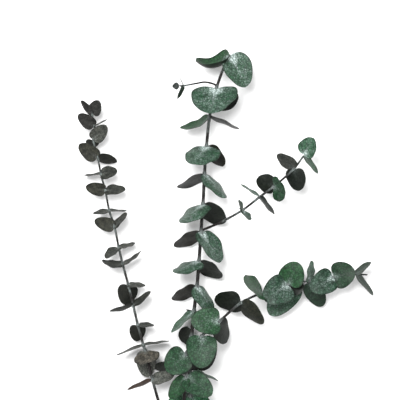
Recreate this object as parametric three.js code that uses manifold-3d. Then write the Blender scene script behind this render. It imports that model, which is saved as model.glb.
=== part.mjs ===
// A bunch of preserved eucalyptus, lying on a flat surface: three long stems gathered at their cut
// ends, a side branch and a short twig that grow from the centre stem, and opposite pairs of round
// leaves that clasp each stem at its nodes.
//
// Millimetres, +Z up. The stems run along +Y to their tips, and the surface is the plane Z = 0.
// Run with the npm packages three and manifold-3d.
import * as THREE from "three";
import { mergeVertices } from "three/addons/utils/BufferGeometryUtils.js";
import Module from "manifold-3d";

// ---- driving dimensions ---------------------------------------------------------------------

const LENGTH = 500; // from the cut ends to the topmost leaf
const SPREAD = 296; // from the outermost leaf on one side to the outermost on the other

const CENTRE_STEM_BASE = 2.0; // radius of the centre stem at its cut end
const CENTRE_STEM_TIP = 1.3;
const RIGHT_STEM_BASE = 1.9;
const RIGHT_STEM_TIP = 0.7;
const LEFT_STEM_BASE = 1.55;
const LEFT_STEM_TIP = 0.75;
const BRANCH_BASE = 1.25; // the side branch, where it leaves the centre stem
const BRANCH_TIP = 0.95;
const TWIG_BASE = 0.9; // the short twig near the centre stem's tip
const TWIG_TIP = 0.75;
const BUD_RADIUS = 3.8; // closed bud at the end of the twig
const BUD_LENGTH = 7;

const LEAF_THICKNESS = 0.55; // at the midrib; a blade thins to nothing at its margin
const STALK_HALF_WIDTH = 1.1; // half width of a blade where it meets its node
const CLASP_WALL = 0.75; // wall of the ring by which a pair of leaves clasps its stem
const CLASP_HALF_LENGTH = 1.4; // half the length of that ring along the stem
const CLEARANCE = 0.4; // gap between a stem and what clasps it or grows from it

const STEM_SIDES = 8;
const STEM_SPANS = 2; // straight lengths of stem from each of its points to the next
const CLASP_SIDES = 6;

// Stations of a blade: along the midrib from base to tip, and across from one margin to the other.
const ALONG = [0, 0.14, 0.45, 0.82, 1];
const ACROSS = [-1, -0.55, 0, 0.55, 1];

// ---- the plant ------------------------------------------------------------------------------
// A stem is a list of the points that it grows through, from its base to its tip. A point that
// carries leaves is a node, and lists its two leaves after its place:
//   [place, leaf, leaf], and a leaf is [tip, width, face, cup, bow].
// tip is where the leaf's point lies from its node. face is the way that the upper side looks, and
// null where it looks along the stem to its tip, as a leaf does that stands square to its stem.
// cup is the bend across the blade, from margin to margin, and bow the bend along it, in degrees;
// both are positive where the upper side is hollow. The numbers are drawn for a bunch of the length
// and spread below, and are stretched from there to its own.

const DRAWN_LENGTH = 500;
const DRAWN_SPREAD = 296;

const CENTRE_STEM = [
  [[-9, -150, 2.0]],
  [[-9.5, -112, 3]],
  [[-10, -75, 6]],
  [[-10, -35, 13]],
  [[-10, 4, 18],
    [[-24, -16, 1], 24, [0, 0.6, 0.75], 15, 10], [[19, -21, 12], 28, [0.3, 0.5, 0.8], 20, 0]],
  [[-10, 31, 20],
    [[-36, 0, -16], 20, [0, 0.6, -0.8], 20, 0], [[28, -12.5, -8], 26, [0.2, 1, 0.1], 15, 0]],
  [[-8.5, 63, 21],
    [[-13, 1, -8], 20, [0.3, 0.3, -0.9], 20, 0], [[13, -14, -15], 28, null, 20, 0]],
  [[-6, 89, 21],
    [[-22, -21, 8], 23, [-0.7, 0.55, 0.3], 20, 0], [[11, -12, -18], 28, null, 20, 0]],
  [[-3, 114, 21],
    [[-24, -14.5, -12], 25, [0, 1, -0.4], -20, 0], [[16, -27, 6], 30, [0.55, 0.5, 0.4], -40, -10]],
  [[-1, 139, 21],
    [[-24.5, -11, 12], 34, [0, 1, 0.2], -40, -10], [[21.5, -17.5, -12], 27, [0, 1, -0.35], -20, 0]],
  [[1, 168, 21],
    [[-26, -15, -12], 25, [0, 1, -0.4], -20, 0], [[18, -30, 10], 32, [0.55, 0.3, 0.5], 25, -10]],
  [[3, 196, 21],
    [[-20.5, -18.5, 16], 35, null, -40, -10], [[20.5, -19.5, -12], 30, [0, 1, -0.45], -20, 0]],
  [[4.5, 226, 21],
    [[-26.5, -13.5, -12], 26, [0, 1, -0.2], -25, 10], [[21, -23.5, 9], 30, [0.55, 0.7, 0.35], -40, -10]],
  [[6.5, 254, 21],
    [[-11, -18.5, 22], 37, null, -40, -10], [[16, -20, -10], 24, [0.3, 0.8, -0.45], 20, 0]],
  [[9.5, 282.5, 22],
    [[-29, -10.5, -3], 26, [0, 1, 0.35], 50, 60], [[29.5, -11.5, 2], 24, [0.35, 1, -0.15], 10, 0]],
  [[13, 300, 23]],
  [[16.5, 312, 23],
    [[-6, -26, 22], 47, [-0.1, 1, 0.5], 25, -10], [[7, -22, -16], 40, [0.2, 1, -0.4], 20, -10]],
  [[23, 330.5, 24]],
  [[30, 345.3, 25],
    [[-33.5, -7, 2], 36, [0.05, 1, 0.3], 105, 120], [[15, -32.5, 8], 31, [0.35, 0.2, 1], 30, -15]],
];

const RIGHT_STEM = [
  [[-15, -146, 1.9]],
  [[-15, -110, 7]],
  [[-15.5, -75, 14]],
  [[-17, -35, 22]],
  [[-16, 0, 30]],
  [[-13.5, 24, 33],
    [[-16, -21, 6], 19, [-0.4, 0.3, 0.7], 20, 0], [[24.5, -17, 13], 25, [0, 0.5, 1], 20, -20]],
  [[-14, 47, 34],
    [[-18.5, -16.5, 9], 28, [0.2, 0.2, 1], 20, -10], [[11, -16, -5], 24, [0.2, 0.5, -0.6], 20, 0]],
  [[2, 65, 34],
    [[-1, -31, 10], 31, [0, 0.3, 1], 30, -40], [[1, -35, -9], 30, [0, 0.2, -1], 20, 0]],
  [[19.5, 79.5, 32],
    [[-28, 0, 9], 28, [0, 0.2, 1], 20, -40], [[7, -22, -12], 25, [-0.7, 0, -0.6], 20, 0]],
  [[41, 97.5, 27],
    [[-26, 1, -15], 25, [0.3, 0.5, -0.8], 15, 0], [[22, -20, 5], 24, [0.5, 0.5, -0.6], 20, 0]],
  [[63, 107.5, 23],
    [[-19, 11, 19], 34, [0.63, 0.68, 0.4], 15, 0], [[-2, -5, -22.9], 16, [0.8, 0.5, 0], 20, 0]],
  [[88, 115.5, 22],
    [[-23.5, -15, 12], 30, [0.1, 0.2, 1], 20, -50], [[9.5, 22, 5], 26, [-0.1, 0.1, 1], 20, -20]],
  [[96, 118, 17],
    [[1, -13, 5], 15, [0.2, 0.4, -0.8], 20, 0], [[-25.5, -33, -5], 28, [0.25, 0.3, 0.8], 20, 0]],
  [[109, 118.5, 17],
    [[2, 20.5, 4], 22, [1, 0, 0.45], 20, 0], [[14.5, -25, -11], 20, [-0.2, 0.4, 0.9], 25, 0]],
  [[134, 122.5, 16],
    [[-23, -12, 9], 25, [0.2, 0.2, 1], 25, -40], [[20.5, 6.5, 7], 27, [-0.2, 0.1, 1], 30, -30]],
  [[156, 125.5, 17],
    [[15, 12, 4], 16, [-0.5, 0.8, 0.4], 20, 0], [[18, -20.5, -8], 16, [0.7, 0.6, 0.45], 20, 0]],
  [[168, 125, 18]],
];

const LEFT_STEM = [
  [[-20, -140, 1.55]],
  [[-21, -108, 3]],
  [[-24, -75, 5]],
  [[-31.5, -35, 9]],
  [[-42, -1, 13]],
  [[-47.7, 19.5, 14],
    [[-25, -10.5, -6], 12, [-0.2, 0.85, -0.4], 20, 0], [[21.5, 5, 6], 17, [-0.1, 0.7, 0.7], 20, 0]],
  [[-55, 49, 14.5],
    [[3, -11, 14], 28, null, -70, -20], [[2, -27, -8], 20, [0, 0.3, 0.9], -30, 0]],
  [[-56.8, 54.5, 14.5],
    [[-27, -10, 3], 16, [-0.3, 0.9, 0.12], 10, 0], [[26, 4, -3], 16, [-0.15, 1, 0.12], 10, 0]],
  [[-62.4, 74.5, 14.5],
    [[-1.5, -16.5, -9], 16, [0, 0.4, -1], 20, 0], [[16, -0.5, 5], 15, [0, 0.95, 0.3], 20, 0]],
  [[-67, 94.5, 14.5],
    [[-23.5, -6, 3], 16, [0, 0.9, -0.35], 20, 20], [[17.5, 13.5, 4], 17, [-0.6, 0.7, 0.35], 20, 20]],
  [[-72, 115, 14.5],
    [[-3, -20.5, -9], 21, [0, 0.3, -1], 60, 0], [[17, -1, 5], 15, [-0.1, 0.95, 0.3], 10, 0]],
  [[-77.5, 135.5, 14.5],
    [[-20.5, 3.5, 3], 17, [0.3, 0.9, 0.4], 20, 50], [[18.5, 13.5, 3], 15, [-0.6, 0.75, 0.25], 10, 30]],
  [[-81.5, 152, 14.5],
    [[-12, -10.5, 9], 17, [-0.3, 0.8, 0.4], 30, -20], [[16, 5, -6], 16, [-0.2, 0.95, 0.3], 20, 20]],
  [[-85.7, 173, 14.5],
    [[-19.5, 6.5, 5], 14, [0.2, -0.2, 0.9], 25, 10], [[12.5, 13.5, 5], 17, [-0.75, 0.55, 0.4], 20, 10]],
  [[-91, 189, 14.5],
    [[-15.5, -3, 6], 15, [0, 0.95, 0.3], 20, 0], [[17, 0.5, -7], 15, [0, 0.97, 0.2], 10, 0]],
  [[-95, 209.5, 14.5],
    [[-19, 4, 5], 14, [0.2, -0.4, 0.9], 25, 0], [[20, 0.5, 5], 17, [-0.1, 0.8, 0.6], 20, 0]],
  [[-99.5, 226, 14.5],
    [[-17, -1, -8], 15, [0, 1, 0.25], 20, 10], [[16.5, 2.5, 6], 15, [-0.2, 0.5, 0.8], 20, 0]],
  [[-102.5, 242.5, 14.5],
    [[-18.2, 13, 5], 16.5, [0.2, -0.5, 0.8], 30, 0], [[18.7, -4.2, -5], 16, [0.2, 0.7, -0.6], 20, 0]],
  [[-107, 260, 15],
    [[-3, -8, -10], 13, [0, 0.6, -0.7], 20, 0], [[13, 14.5, 7], 15.5, [-0.3, -0.5, 0.8], 30, 0]],
  [[-106, 274, 15],
    [[-15.5, 11.5, 4], 14, [0.2, -0.5, 0.9], 30, 0], [[13.5, 7, 4], 12, [-0.4, 0.9, 0.2], 10, 10]],
  [[-108, 285.5, 15],
    [[-11.5, 14, -3], 9, [0.5, 0.2, -0.6], 30, 0], [[6.5, 14, 5], 14, [-0.3, -0.4, 0.9], 50, 10]],
  [[-109, 297.5, 16]],
];

const SIDE_BRANCH = [
  [[20, 177.5, 26]],
  [[42.5, 190, 28],
    [[-4.5, 9, 6], 15, [0.8, 0.45, 0.35], 20, 0], [[5.5, -9.5, 8], 18, [0.8, 0.5, 0.45], 20, 0]],
  [[59.4, 203, 29],
    [[-19, 12.5, 3], 16, [0.8, 0.6, 0.14], 15, 0], [[14.5, -17, 4], 16, [0.6, 0.5, -0.25], 15, 0]],
  [[73.5, 213.5, 30],
    [[-17, 6, -9], 20, [0.3, 0.3, -0.9], 20, 0], [[11, -6, 13], 27, [-0.6, -0.3, 0.52], 20, 0]],
  [[93.5, 231, 31],
    [[-16, 14.5, 5], 18, [0.3, 0.6, -0.6], 20, 0], [[5, -21.5, -8], 20, [0.3, 0.2, -0.9], 20, 0]],
  [[103.5, 244.5, 32],
    [[9.5, 16.5, 7], 21, [-0.5, 0, 0.9], 55, 0], [[13, -18, 6], 14, [0.8, 0.3, 0.5], 20, 0]],
];

const TOP_TWIG = [
  [[5, 317.6, 27]],
  [[-4, 316.2, 28]],
  [[-16.5, 314, 28.5],
    [[-5, 11, 2], 6, [0.9, 0.4, 0.1], 10, 0], [[-6, -13, 3], 7, [0.8, -0.3, 0.5], 20, 0]],
  [[-21, 313.8, 28.6]],
];

// The pairs of the centre stem, counted from its base, above which the branch and the twig grow.
const BRANCH_PAIR = 7;
const TWIG_PAIR = 12;

// ---- curves and frames ----------------------------------------------------------------------

const vector = (place) => new THREE.Vector3(...place);

// From the drawn bunch to its own length and spread.
const STRETCH = new THREE.Vector3(SPREAD / DRAWN_SPREAD, LENGTH / DRAWN_LENGTH, 1);

// A stem's rings, which lie on a smooth centreline through its points: where each one lies, which
// way the stem runs there, and its radius. Its path runs on beyond the tip, for what clasps it there.
function stemOf(points, baseRadius, tipRadius) {
  const places = points.map(([place]) => vector(place).multiply(STRETCH));
  const curve = new THREE.CatmullRomCurve3(places, false, "centripetal");
  const last = STEM_SPANS * (points.length - 1);
  const rings = Array.from({ length: last + 1 }, (_, i) => ({
    centre: curve.getPoint(i / last),
    run: curve.getTangent(i / last),
    radius: THREE.MathUtils.lerp(baseRadius, tipRadius, i / last),
  }));
  const nodes = points
    .map((point, i) => ({ ring: i * STEM_SPANS, leaves: point.slice(1) }))
    .filter((node) => node.leaves.length > 0);
  const { centre, run, radius } = rings.at(-1);
  const beyond = { centre: centre.clone().addScaledVector(run, 2 * CLASP_HALF_LENGTH), run, radius };
  return { rings, path: [...rings, beyond], nodes };
}

// Two directions square to a stem's run, so that a ring of points can be set about it.
function squareTo(run) {
  const side = new THREE.Vector3(0, 0, 1).cross(run).normalize();
  return [side, new THREE.Vector3().crossVectors(run, side)];
}

// Turns a lathed shape, whose axis is +Y, to point along a run.
function turnTo(geometry, run) {
  geometry.applyQuaternion(new THREE.Quaternion().setFromUnitVectors(new THREE.Vector3(0, 1, 0), run));
}

// A closed mesh from its points and faces, where a face is a list of three or four point numbers.
function closedMesh(points, faces) {
  const index = faces.flatMap(([a, b, c, d]) => (d === undefined ? [a, b, c] : [a, b, c, a, c, d]));
  const geometry = new THREE.BufferGeometry();
  geometry.setAttribute("position", new THREE.Float32BufferAttribute(points.flatMap((p) => p.toArray()), 3));
  geometry.setIndex(index);
  return geometry;
}

// ---- shapes ---------------------------------------------------------------------------------

// A tapered round rod through some of a stem's rings, with flat cut ends. `grow` widens it all round.
function rod(rings, grow = 0) {
  const points = rings.flatMap(({ centre, run, radius }) => {
    const [side, up] = squareTo(run);
    return Array.from({ length: STEM_SIDES }, (_, k) => {
      const turn = (2 * Math.PI * k) / STEM_SIDES;
      return centre
        .clone()
        .addScaledVector(side, (radius + grow) * Math.cos(turn))
        .addScaledVector(up, (radius + grow) * Math.sin(turn));
    });
  });
  const faces = [];
  const end = (rings.length - 1) * STEM_SIDES;
  for (let first = 0; first < end; first += STEM_SIDES)
    for (let k = 0; k < STEM_SIDES; k++) {
      const next = (k + 1) % STEM_SIDES;
      faces.push([first + k, first + next, first + STEM_SIDES + next, first + STEM_SIDES + k]);
    }
  for (let k = 1; k < STEM_SIDES - 1; k++) faces.push([0, k + 1, k], [end, end + k, end + k + 1]);
  return closedMesh(points, faces);
}

// Share of the full half width at a station along a leaf: round, broadest just short of the middle,
// with a blunt point.
const outline = (along) => Math.sin(Math.PI * along ** 0.75) ** (0.56 - 0.16 * along);

// A leaf blade from its stem to its tip: a midrib bent to an arc, crossed by arcs whose
// half width follows the outline. The blade is thickest at the midrib and closes at its margin. Its
// foot is the place on the midrib that its stalk reaches.
function blade({ centre, run, radius }, [tip, width, face, cup, bow]) {
  const reach = vector(tip);
  const ahead = reach.clone().normalize();
  const upper = face ? vector(face) : run.clone();
  upper.addScaledVector(ahead, -upper.dot(ahead)).normalize();
  const across = new THREE.Vector3().crossVectors(ahead, upper);
  const chord = reach.length() - radius;
  const bend = THREE.MathUtils.degToRad(Math.abs(bow) < 1 ? 1 : bow);
  const arc = chord / (2 * Math.sin(bend / 2));
  const hollow = THREE.MathUtils.degToRad(Math.abs(cup) < 1 ? 1 : cup) / 2;

  // A point of the blade's middle surface, moved `lift` towards its upper side.
  function pointAt(along, v, lift) {
    const turn = bend * (along - 0.5);
    const stalk = STALK_HALF_WIDTH * (1 - along) ** 3;
    const half = stalk + (width * outline(along)) / 2;
    const forward = radius + arc * (Math.sin(bend / 2) + Math.sin(turn));
    const rise = arc * (Math.cos(bend / 2) - Math.cos(turn)) + (half / hollow) * (1 - Math.cos(hollow * v));
    return new THREE.Vector3()
      .addScaledVector(ahead, forward)
      .addScaledVector(across, (half / hollow) * Math.sin(hollow * v))
      .addScaledVector(upper, rise + lift)
      .multiply(STRETCH)
      .add(centre);
  }

  const points = [];
  const faces = [];
  const last = ACROSS.length - 1;
  const rows = ALONG.length - 1;
  // Point numbers: the margin is shared by the upper and the lower side, and the tip is one point.
  const numbers = [1, -1].map((sign) =>
    ALONG.slice(0, -1).map((along, i) =>
      ACROSS.map((v, j) => {
        const onMargin = j === 0 || j === last;
        if (onMargin && sign < 0) return null;
        const lift = onMargin ? 0 : (sign * LEAF_THICKNESS * (1 - v * v)) / 2;
        return points.push(pointAt(along, v, lift)) - 1;
      }),
    ),
  );
  const point = points.push(pointAt(1, 0, 0)) - 1;
  const number = (side, i, j) => (i === rows ? point : (numbers[side][i][j] ?? numbers[0][i][j]));
  for (let i = 0; i < rows; i++)
    for (let j = 0; j < last; j++)
      for (const side of [0, 1]) {
        const [here, there] = [i, i + 1].map((row) => [number(side, row, j), number(side, row, j + 1)]);
        const corners = [here[0], there[0], there[1], here[1]];
        const patch = corners.filter((n, k) => n !== corners[(k + 1) % 4]);
        faces.push(side === 0 ? patch.reverse() : patch);
      }
  for (let j = 0; j < last; j++) {
    const cap = [number(1, 0, j), number(1, 0, j + 1), number(0, 0, j + 1), number(0, 0, j)];
    faces.push(cap.filter((n, k) => n !== cap[(k + 1) % 4]));
  }
  return { surface: closedMesh(points, faces), foot: pointAt(ALONG[1], 0, 0) };
}

// The corners of a leaf's short stalk, which runs from the wall of the ring round its stem to the
// leaf's foot.
function stalk({ centre, run, radius }, foot) {
  const outward = foot.clone().sub(centre);
  outward.addScaledVector(run, -outward.dot(run)).normalize();
  const root = centre.clone().addScaledVector(outward, radius + CLEARANCE + CLASP_WALL / 2);
  const axes = [0, 1, 2].map((k) => new THREE.Vector3().setComponent(k, 1));
  return [
    [root, CLASP_WALL],
    [foot, LEAF_THICKNESS],
  ].flatMap(([place, reach]) =>
    axes.flatMap((axis) => [reach, -reach].map((d) => place.clone().addScaledVector(axis, d).toArray())),
  );
}

// The ring by which a pair of leaves clasps its stem: a short thick sleeve with eased ends.
function clasp(stemRadius) {
  const outside = stemRadius + CLEARANCE + CLASP_WALL;
  const end = stemRadius + CLEARANCE + CLASP_WALL / 3;
  const profile = [
    [0, -CLASP_HALF_LENGTH],
    [end, -CLASP_HALF_LENGTH],
    [outside, 0],
    [end, CLASP_HALF_LENGTH],
    [0, CLASP_HALF_LENGTH],
  ];
  return new THREE.LatheGeometry(profile.map(([r, y]) => new THREE.Vector2(r, y)), CLASP_SIDES);
}

// A closed bud, with its base at the origin and its point along +Y.
function bud(radius, length) {
  const profile = [
    [0, 0],
    [0.35 * radius, 0],
    [radius, 0.38 * length],
    [0.8 * radius, 0.72 * length],
    [0, length],
  ];
  return new THREE.LatheGeometry(profile.map(([r, y]) => new THREE.Vector2(r, y)), 10);
}

// ---- solids ---------------------------------------------------------------------------------

const wasm = await Module();
wasm.setup();

// A geometry as a manifold-3d solid, and back.
function solidOf(geometry) {
  const bare = geometry.clone();
  bare.deleteAttribute("normal");
  bare.deleteAttribute("uv");
  const merged = mergeVertices(bare, 1e-4);
  return new wasm.Manifold(
    new wasm.Mesh({
      numProp: 3,
      vertProperties: merged.attributes.position.array,
      triVerts: new Uint32Array(merged.index.array),
    }),
  );
}

function geometryOf(solid) {
  const mesh = solid.getMesh();
  const geometry = new THREE.BufferGeometry();
  geometry.setAttribute("position", new THREE.BufferAttribute(mesh.vertProperties, 3));
  geometry.setIndex(new THREE.BufferAttribute(mesh.triVerts, 1));
  geometry.computeVertexNormals();
  return geometry;
}

// Both leaves of a node and the ring that joins them, cut clear of the stem that they clasp.
function leafPair(path, node) {
  const { centre, run, radius } = path[node.ring];
  const ring = clasp(radius);
  turnTo(ring, run);
  ring.translate(...centre.toArray());
  let pair = solidOf(ring);
  for (const leaf of node.leaves) {
    const { surface, foot } = blade(path[node.ring], leaf);
    pair = pair.add(solidOf(surface)).add(wasm.Manifold.hull(stalk(path[node.ring], foot)));
  }
  const nearby = path.slice(node.ring - STEM_SPANS, node.ring + STEM_SPANS + 1);
  return geometryOf(pair.subtract(solidOf(rod(nearby, CLEARANCE))).asOriginal().simplify(0.03));
}

// ---- the bunch ------------------------------------------------------------------------------

const bark = new THREE.MeshStandardMaterial({ color: 0x55504c, roughness: 0.8, metalness: 0 });
const greenLeaf = new THREE.MeshStandardMaterial({ color: 0x4d7d5e, roughness: 0.6, metalness: 0 });
const duskyLeaf = new THREE.MeshStandardMaterial({ color: 0x55564f, roughness: 0.7, metalness: 0 });
const budScale = new THREE.MeshStandardMaterial({ color: 0x3c4a44, roughness: 0.7, metalness: 0 });

const plant = new THREE.Group();

function add(name, geometry, material) {
  const mesh = new THREE.Mesh(geometry, material);
  mesh.name = name;
  plant.add(mesh);
}

function grow(name, points, baseRadius, tipRadius, leafName, leafMaterial) {
  const { rings, path, nodes } = stemOf(points, baseRadius, tipRadius);
  add(name, rod(rings), bark);
  nodes.forEach((node, i) => {
    add(`${leafName}_${String(i + 1).padStart(2, "0")}`, leafPair(path, node), leafMaterial);
  });
  return { path, nodes, tip: rings.at(-1) };
}

// The drawn place beside a stem, just above one of its leaf pairs, where a branch of some radius
// begins. `side` is 1 towards +X and -1 towards -X.
function axil({ path, nodes }, pair, side, branchRadius) {
  const { centre, run, radius } = path[nodes[pair - 1].ring];
  const outward = new THREE.Vector3(side, 0, 0).addScaledVector(run, -side * run.x).normalize();
  return centre
    .clone()
    .addScaledVector(run, CLASP_HALF_LENGTH + branchRadius + CLEARANCE)
    .addScaledVector(outward, radius + branchRadius + CLEARANCE)
    .divide(STRETCH)
    .toArray();
}

grow("left_stem", LEFT_STEM, LEFT_STEM_BASE, LEFT_STEM_TIP, "left_leaf_pair", duskyLeaf);
const centre = grow(
  "centre_stem",
  CENTRE_STEM,
  CENTRE_STEM_BASE,
  CENTRE_STEM_TIP,
  "centre_leaf_pair",
  greenLeaf,
);
grow("right_stem", RIGHT_STEM, RIGHT_STEM_BASE, RIGHT_STEM_TIP, "right_leaf_pair", greenLeaf);
const branchRoot = axil(centre, BRANCH_PAIR, 1, BRANCH_BASE);
grow("side_branch", [[branchRoot], ...SIDE_BRANCH], BRANCH_BASE, BRANCH_TIP, "branch_leaf_pair", greenLeaf);
const twigRoot = axil(centre, TWIG_PAIR, -1, TWIG_BASE);
const twig = grow("top_twig", [[twigRoot], ...TOP_TWIG], TWIG_BASE, TWIG_TIP, "twig_leaf_pair", greenLeaf);

const twigBud = bud(BUD_RADIUS, BUD_LENGTH);
turnTo(twigBud, twig.tip.run);
twigBud.translate(...twig.tip.centre.clone().addScaledVector(twig.tip.run, CLEARANCE).toArray());
add("twig_bud", twigBud, budScale);

// The origin is the middle of the bunch, on the surface that it lies on.
const box = new THREE.Box3().setFromObject(plant);
const middle = box.getCenter(new THREE.Vector3());
plant.position.set(-middle.x, -middle.y, -box.min.z);

const bunch = new THREE.Group();
bunch.add(plant);

export default bunch;
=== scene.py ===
"""A bunch of preserved eucalyptus, lying on a pale surface.

Three long stems, a side branch and a short twig carry round leaves in opposite pairs. Every stem is
a tapered rod along a smooth line through the points listed for it, swollen at its nodes, and every
leaf is a thin closed blade that grows from its node to its tip. Lengths are millimetres until a
piece is put into the scene, which is in metres.
"""

import math

import bpy
import numpy as np
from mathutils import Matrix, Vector

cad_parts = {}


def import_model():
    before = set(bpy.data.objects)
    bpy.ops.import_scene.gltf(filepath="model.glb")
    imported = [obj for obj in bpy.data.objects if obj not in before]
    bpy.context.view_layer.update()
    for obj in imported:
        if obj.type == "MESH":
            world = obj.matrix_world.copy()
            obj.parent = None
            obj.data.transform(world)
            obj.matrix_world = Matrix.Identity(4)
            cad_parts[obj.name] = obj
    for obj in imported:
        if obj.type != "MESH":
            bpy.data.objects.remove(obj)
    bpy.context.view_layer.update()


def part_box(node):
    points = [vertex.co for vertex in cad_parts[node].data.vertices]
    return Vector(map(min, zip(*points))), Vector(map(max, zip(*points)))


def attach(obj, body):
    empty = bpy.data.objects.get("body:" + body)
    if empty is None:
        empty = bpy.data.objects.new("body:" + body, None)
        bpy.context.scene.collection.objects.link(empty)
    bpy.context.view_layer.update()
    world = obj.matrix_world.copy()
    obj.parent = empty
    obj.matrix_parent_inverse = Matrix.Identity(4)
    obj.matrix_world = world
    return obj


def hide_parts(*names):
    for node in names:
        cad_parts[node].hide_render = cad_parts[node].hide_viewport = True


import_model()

MM = 0.001

# ---- the plant ------------------------------------------------------------------------------------
# A stem is a list of the points that it grows through, from base to tip. A point with leaves is a
# node: [place, leaf, leaf]. A leaf is [tip, width, face, cup, bow, look]: tip is where its point lies
# from the node; face is the way that its upper side looks, None where that is along the stem; cup and
# bow are the bends across and along the blade in degrees, hollow above where positive; and look names
# its colouring in LOOKS.
CENTRE_STEM = [
  [[-9, -150, 2.0]],
  [[-9.5, -112, 3]],
  [[-10, -75, 6]],
  [[-10, -35, 13]],
  [[-10, 4, 18],
    [[-24, -16, 1], 24, [0, 0.6, 0.75], 15, 10, "mauve"],
    [[19, -21, 12], 28, [0.3, 0.5, 0.8], 20, 0, "mauve"]],
  [[-10, 31, 20],
    [[-36, 0, -16], 20, [0, 0.6, -0.8], 20, 0, "dark"],
    [[28, -12.5, -8], 26, [0.2, 1, 0.1], 15, 0, "pale"]],
  [[-8.5, 63, 21],
    [[-13, 1, -8], 20, [0.3, 0.3, -0.9], 20, 0, "dark"],
    [[13, -14, -15], 28, None, 20, 0, "dark"]],
  [[-6, 89, 21],
    [[-22, -21, 8], 23, [-0.7, 0.55, 0.3], 20, 0, "pale"],
    [[11, -12, -18], 28, None, 20, 0, "dark"]],
  [[-3, 114, 21],
    [[-24, -14.5, -12], 25, [0, 1, -0.4], -20, 0, "russet"],
    [[16, -27, 6], 30, [0.55, 0.5, 0.4], -40, -10, "frosted"]],
  [[-1, 139, 21],
    [[-24.5, -11, 12], 34, [0, 1, 0.2], -40, -10, "frosted"],
    [[21.5, -17.5, -12], 27, [0, 1, -0.35], -20, 0, "dark"]],
  [[1, 168, 21],
    [[-26, -15, -12], 25, [0, 1, -0.4], -20, 0, "russet"],
    [[18, -30, 10], 32, [0.55, 0.3, 0.5], 25, -10, "frosted"]],
  [[3, 196, 21],
    [[-20.5, -18.5, 16], 35, None, -40, -10, "frosted"],
    [[20.5, -19.5, -12], 30, [0, 1, -0.45], -20, 0, "dark"]],
  [[4.5, 226, 21],
    [[-26.5, -13.5, -12], 26, [0, 1, -0.2], -25, 10, "smoky"],
    [[21, -23.5, 9], 30, [0.55, 0.7, 0.35], -40, -10, "frosted"]],
  [[6.5, 254, 21],
    [[-11, -18.5, 22], 37, None, -40, -10, "frosted"],
    [[16, -20, -10], 24, [0.3, 0.8, -0.45], 20, 0, "russet"]],
  [[9.5, 282.5, 22],
    [[-29, -10.5, -3], 26, [0, 1, 0.35], 50, 60, "rich"],
    [[29.5, -11.5, 2], 24, [0.35, 1, -0.15], 10, 0, "smoky"]],
  [[13, 300, 23]],
  [[16.5, 312, 23],
    [[-6, -26, 22], 47, [-0.1, 1, 0.5], 25, -10, "frosted"],
    [[7, -22, -16], 40, [0.2, 1, -0.4], 20, -10, "dark"]],
  [[23, 330.5, 24]],
  [[30, 345.3, 25],
    [[-33.5, -7, 2], 36, [0.05, 1, 0.3], 105, 120, "rich"],
    [[15, -32.5, 8], 31, [0.35, 0.2, 1], 30, -15, "ribbed"]],
]

RIGHT_STEM = [
  [[-15, -146, 1.9]],
  [[-15, -110, 7]],
  [[-15.5, -75, 14]],
  [[-17, -35, 22]],
  [[-16, 0, 30]],
  [[-13.5, 24, 33],
    [[-16, -21, 6], 19, [-0.4, 0.3, 0.7], 20, 0, "rich"],
    [[24.5, -17, 13], 25, [0, 0.5, 1], 20, -20, "green"]],
  [[-14, 47, 34],
    [[-18.5, -16.5, 9], 28, [0.2, 0.2, 1], 20, -10, "green"],
    [[11, -16, -5], 24, [0.2, 0.5, -0.6], 20, 0, "dark"]],
  [[2, 65, 34],
    [[-1, -31, 10], 31, [0, 0.3, 1], 30, -40, "green"],
    [[1, -35, -9], 30, [0, 0.2, -1], 20, 0, "dark"]],
  [[19.5, 79.5, 32],
    [[-28, 0, 9], 28, [0, 0.2, 1], 20, -40, "half"],
    [[7, -22, -12], 25, [-0.7, 0, -0.6], 20, 0, "dark"]],
  [[41, 97.5, 27],
    [[-26, 1, -15], 25, [0.3, 0.5, -0.8], 15, 0, "dark"],
    [[22, -20, 5], 24, [0.5, 0.5, -0.6], 20, 0, "brown"]],
  [[63, 107.5, 23],
    [[-19, 11, 19], 34, [0.63, 0.68, 0.4], 15, 0, "rich"],
    [[-2, -5, -22.9], 16, [0.8, 0.5, 0], 20, 0, "dark"]],
  [[88, 115.5, 22],
    [[-23.5, -15, 12], 30, [0.1, 0.2, 1], 20, -50, "veined"],
    [[9.5, 22, 5], 26, [-0.1, 0.1, 1], 20, -20, "rich"]],
  [[96, 118, 17],
    [[1, -13, 5], 15, [0.2, 0.4, -0.8], 20, 0, "dark"],
    [[-25.5, -33, -5], 28, [0.25, 0.3, 0.8], 20, 0, "frosted"]],
  [[109, 118.5, 17],
    [[2, 20.5, 4], 22, [1, 0, 0.45], 20, 0, "pale"],
    [[14.5, -25, -11], 20, [-0.2, 0.4, 0.9], 25, 0, "shade"]],
  [[134, 122.5, 16],
    [[-23, -12, 9], 25, [0.2, 0.2, 1], 25, -40, "veined"],
    [[20.5, 6.5, 7], 27, [-0.2, 0.1, 1], 30, -30, "painted_shade_green"]],
  [[156, 125.5, 17],
    [[15, 12, 4], 16, [-0.5, 0.8, 0.4], 20, 0, "shade"],
    [[18, -20.5, -8], 16, [0.7, 0.6, 0.45], 20, 0, "shade"]],
  [[168, 125, 18]],
]

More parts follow.
